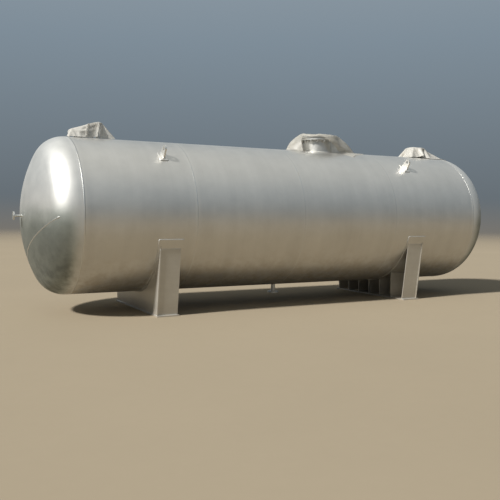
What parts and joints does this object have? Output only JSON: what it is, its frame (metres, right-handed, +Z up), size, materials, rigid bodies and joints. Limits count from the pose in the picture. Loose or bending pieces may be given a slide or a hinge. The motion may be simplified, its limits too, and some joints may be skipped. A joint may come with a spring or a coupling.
{
  "type": "horizontal pressure vessel",
  "caption": "Horizontal steel pressure vessel on two welded saddles, with dished heads, a manway, flanged nozzles and lifting lugs; film is tied over its top openings.",
  "frame": {"origin": "on the ground, midway between the two saddles, under the vessel's axis", "axes": "+X along the vessel towards its right end, +Z up, -Y the front that the picture shows"},
  "size_m": [7.4074, 2.0236, 2.502],
  "materials": {
    "shell_steel": "pickled plate, satin",
    "head_steel": "pickled and polished plate, satin",
    "saddle_steel": "pickled plate, matt",
    "nozzle_steel": "turned and pickled, satin",
    "film": "thin milky wrapping film"
  },
  "bodies": {
    "root": {"shell_course_1": "shell_steel", "shell_course_2": "shell_steel", "shell_course_3": "shell_steel", "shell_course_4": "shell_steel", "left_saddle_wear_plate": "shell_steel", "right_saddle_wear_plate": "shell_steel", "front_left_pad": "shell_steel", "front_right_pad": "shell_steel", "rear_left_pad": "shell_steel", "rear_right_pad": "shell_steel", "left_head": "head_steel", "right_head": "head_steel", "left_saddle_base": "saddle_steel", "left_saddle_web": "saddle_steel", "left_saddle_ribs": "saddle_steel", "left_saddle_end_plates": "saddle_steel", "right_saddle_base": "saddle_steel", "right_saddle_web": "saddle_steel", "right_saddle_ribs": "saddle_steel", "right_saddle_end_plates": "saddle_steel", "manway_neck": "nozzle_steel", "left_nozzle_neck": "nozzle_steel", "vent_neck": "nozzle_steel", "right_nozzle_neck": "nozzle_steel", "head_nozzle_neck": "nozzle_steel", "drain_neck": "nozzle_steel", "manway_flange": "nozzle_steel", "left_nozzle_flange": "nozzle_steel", "vent_flange": "nozzle_steel", "right_nozzle_flange": "nozzle_steel", "head_nozzle_flange": "nozzle_steel", "drain_flange": "nozzle_steel", "manway_cover": "nozzle_steel", "front_left_lug": "nozzle_steel", "front_right_lug": "nozzle_steel", "rear_left_lug": "nozzle_steel", "rear_right_lug": "nozzle_steel", "manway_film": "film", "left_film": "film", "right_film": "film"}
  },
  "joints": []
}
